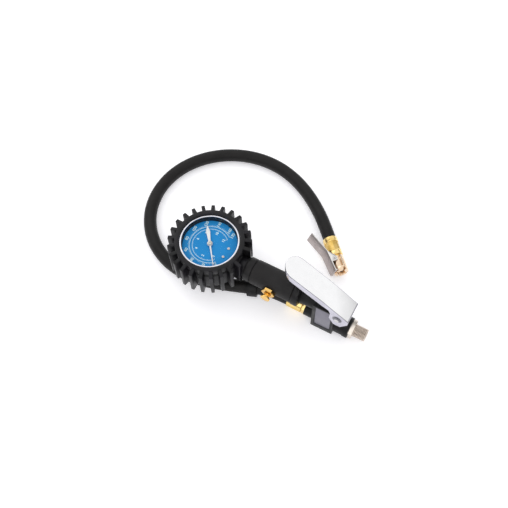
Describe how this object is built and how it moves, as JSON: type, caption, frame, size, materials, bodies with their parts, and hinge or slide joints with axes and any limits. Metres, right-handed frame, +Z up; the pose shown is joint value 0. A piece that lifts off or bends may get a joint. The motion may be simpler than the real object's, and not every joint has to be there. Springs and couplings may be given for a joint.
{
  "type": "tyre inflator gun",
  "caption": "Hand-held tyre inflator gun: dial gauge in a ribbed boot, round grip with bleed valve, press lever, male air inlet and a short hose with a clip-on chuck.",
  "frame": {"origin": "middle of the gun's footprint, without the hose and chuck, on the surface it lies on", "axes": "+X from the gauge to the air inlet, +Z up, out of the dial, +Y to the side that the hose loops to"},
  "size_m": [0.285, 0.1928, 0.091],
  "materials": {
    "boot_rubber": "matte",
    "case_steel": "satin black",
    "bezel_chrome": "polished",
    "gauge_glass": "clear",
    "gasket_rubber": "matte",
    "dial_print": "satin black",
    "screw_steel": "brushed",
    "pointer_paint": "satin black",
    "works_brass": "satin",
    "tube_bronze": "satin",
    "collar_plastic": "fine texture",
    "grip_rubber": "matte",
    "casting_paint": "satin black",
    "label_plastic": "fine texture",
    "valve_brass": "satin",
    "seal_rubber": "matte",
    "rod_steel": "brushed",
    "spring_steel": "brushed",
    "lever_chrome": "polished",
    "inlet_nickel": "polished",
    "bleed_brass": "satin",
    "hose_rubber": "matte",
    "ferrule_brass": "satin",
    "clip_rubber": "matte",
    "chuck_brass": "satin",
    "clip_steel": "brushed"
  },
  "bodies": {
    "gun": {"gauge_boot": "boot_rubber", "gauge_case": "case_steel", "bezel_ring": "bezel_chrome", "gauge_glass": "gauge_glass", "glass_gasket": "gasket_rubber", "dial_plate": "dial_print", "dial_screws": "screw_steel", "pointer_stop": "screw_steel", "bourdon_tube": "tube_bronze", "bourdon_tip": "works_brass", "gauge_socket": "works_brass", "movement_lower_plate": "works_brass", "movement_upper_plate": "works_brass", "movement_spacers": "works_brass", "movement_screws": "screw_steel", "hairspring": "tube_bronze", "neck_collar": "collar_plastic", "grip_sleeve": "grip_rubber", "rear_collar": "collar_plastic", "body_casting": "casting_paint", "label_plate": "label_plastic", "valve_seat": "valve_brass", "rod_gland": "valve_brass", "rod_seal": "seal_rubber", "valve_plug": "valve_brass", "valve_spring": "spring_steel", "lever_pin": "rod_steel", "inlet_fitting": "inlet_nickel", "bleed_body": "bleed_brass", "bleed_spring": "spring_steel", "air_hose": "hose_rubber", "hose_nipple": "ferrule_brass", "hose_ferrule": "ferrule_brass", "hose_clip": "clip_rubber", "chuck_ferrule": "ferrule_brass", "chuck_nipple": "ferrule_brass", "chuck_body": "chuck_brass", "chuck_seal": "seal_rubber", "chuck_pin": "ferrule_brass", "chuck_clip_pin": "rod_steel", "chuck_clip_spring": "spring_steel"},
    "lever": {"press_lever": "lever_chrome"},
    "valve_stem": {"push_rod": "rod_steel", "valve_poppet": "valve_brass", "poppet_washer": "seal_rubber"},
    "bleed": {"bleed_button": "bleed_brass", "bleed_washer": "seal_rubber"},
    "needle": {"pointer": "pointer_paint", "pinion_arbor": "works_brass"},
    "sector": {"sector_gear": "works_brass"},
    "link": {"connecting_link": "works_brass"},
    "chuck_lever": {"chuck_clip": "clip_steel"}
  },
  "joints": [
    {"name": "lever_press", "type": "hinge", "parent": "gun", "child": "lever", "pos_m": [0.08008, 0, 0.0434], "axis": [0, -1, 0], "range_deg": [0, 7], "stiffness_Nm_per_rad": 1, "springref_deg": -5.73},
    {"name": "valve_travel", "type": "slide", "parent": "gun", "child": "valve_stem", "axis": [0, 0, -1], "range_m": [0, 0.0033], "deforming": ["valve_spring"]},
    {"name": "bleed_press", "type": "slide", "parent": "gun", "child": "bleed", "axis": [0, 1, 0], "range_m": [0, 0.002], "stiffness_N_per_m": 400, "springref_m": -0.002, "deforming": ["bleed_spring"]},
    {"name": "pointer_turn", "type": "hinge", "parent": "gun", "child": "needle", "pos_m": [-0.06792, 0, 0.05], "axis": [0, 0, 1], "range_deg": [-270, 0], "stiffness_Nm_per_rad": 0.00002},
    {"name": "sector_turn", "type": "hinge", "parent": "gun", "child": "sector", "pos_m": [-0.0707, 0.01576, 0.0358], "axis": [0, 0, 1], "range_deg": [0, 30]},
    {"name": "link_turn", "type": "hinge", "parent": "sector", "child": "link", "pos_m": [-0.07157, 0.02068, 0.0371], "axis": [0, 0, 1], "range_deg": [-30, 0]},
    {"name": "chuck_clip_press", "type": "hinge", "parent": "gun", "child": "chuck_lever", "pos_m": [0.04311, 0.06113, 0.00996], "axis": [-0.2729, -0.2566, -0.9272], "range_deg": [0, 10], "stiffness_Nm_per_rad": 0.3, "springref_deg": -5.73, "deforming": ["chuck_clip_spring"]}
  ],
  "couplings": [
    {"joint": "valve_travel", "follows": "lever_press", "m_per_rad": 0.027},
    {"joint": "sector_turn", "follows": "pointer_turn", "ratio": -0.11111},
    {"joint": "link_turn", "follows": "pointer_turn", "ratio": 0.11111}
  ]
}
